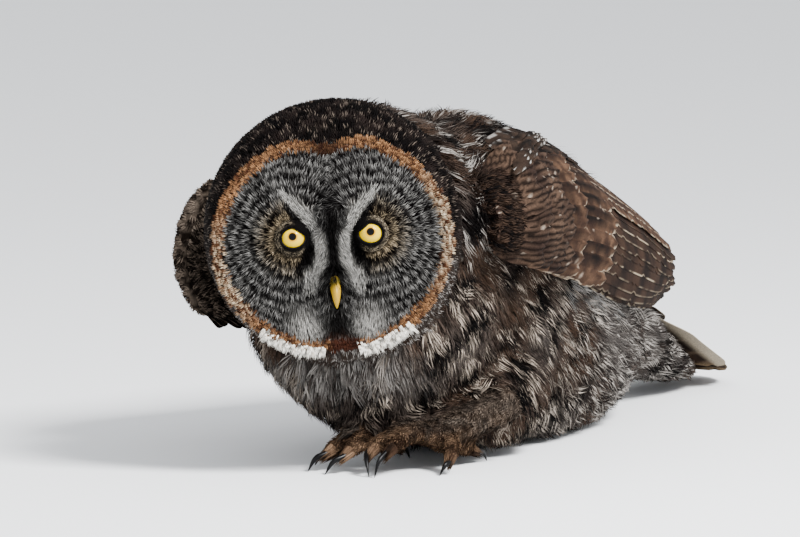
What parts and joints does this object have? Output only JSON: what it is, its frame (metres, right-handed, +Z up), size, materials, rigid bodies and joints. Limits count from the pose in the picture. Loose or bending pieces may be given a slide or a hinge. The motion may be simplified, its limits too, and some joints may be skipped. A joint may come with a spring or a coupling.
{
  "type": "great grey owl",
  "caption": "Life-size great grey owl crouched low on its feet and belly, breast raised, wings folded, tail on the ground, round facial disc turned to its left.",
  "frame": {"origin": "middle of the bird's bounding box on the floor plane", "axes": "+Z up, -Y the way the breast faces, +Y towards the tail, +X the owl's left side"},
  "size_m": [0.2658, 0.6732, 0.2488],
  "materials": {
    "plumage": "soft barred grey-brown feathers",
    "flight_feathers": "smooth brown feathers with pale bars",
    "facial_disc": "fine grey feathers in rings",
    "foot_feathers": "short dense feathers",
    "claw_horn": "black polished horn",
    "bill_horn": "satin yellow horn",
    "eye": "wet gloss",
    "lid_skin": "matt black skin"
  },
  "bodies": {
    "root": {"bill_lower": "bill_horn", "bill_upper": "bill_horn", "eye_left": "eye", "eye_right": "eye", "eyelids_left": "lid_skin", "eyelids_right": "lid_skin", "head": "facial_disc", "hind_claw_left": "claw_horn", "hind_claw_right": "claw_horn", "hind_toe_left": "foot_feathers", "hind_toe_right": "foot_feathers", "inner_claw_left": "claw_horn", "inner_claw_right": "claw_horn", "inner_toe_left": "foot_feathers", "inner_toe_right": "foot_feathers", "middle_claw_left": "claw_horn", "middle_claw_right": "claw_horn", "middle_toe_left": "foot_feathers", "middle_toe_right": "foot_feathers", "neck": "plumage", "outer_claw_left": "claw_horn", "outer_claw_right": "claw_horn", "outer_toe_left": "foot_feathers", "outer_toe_right": "foot_feathers", "tail": "flight_feathers", "tarsus_left": "foot_feathers", "tarsus_right": "foot_feathers", "thigh_left": "plumage", "thigh_right": "plumage", "torso": "plumage", "wing_left": "flight_feathers", "wing_right": "flight_feathers"}
  },
  "joints": []
}
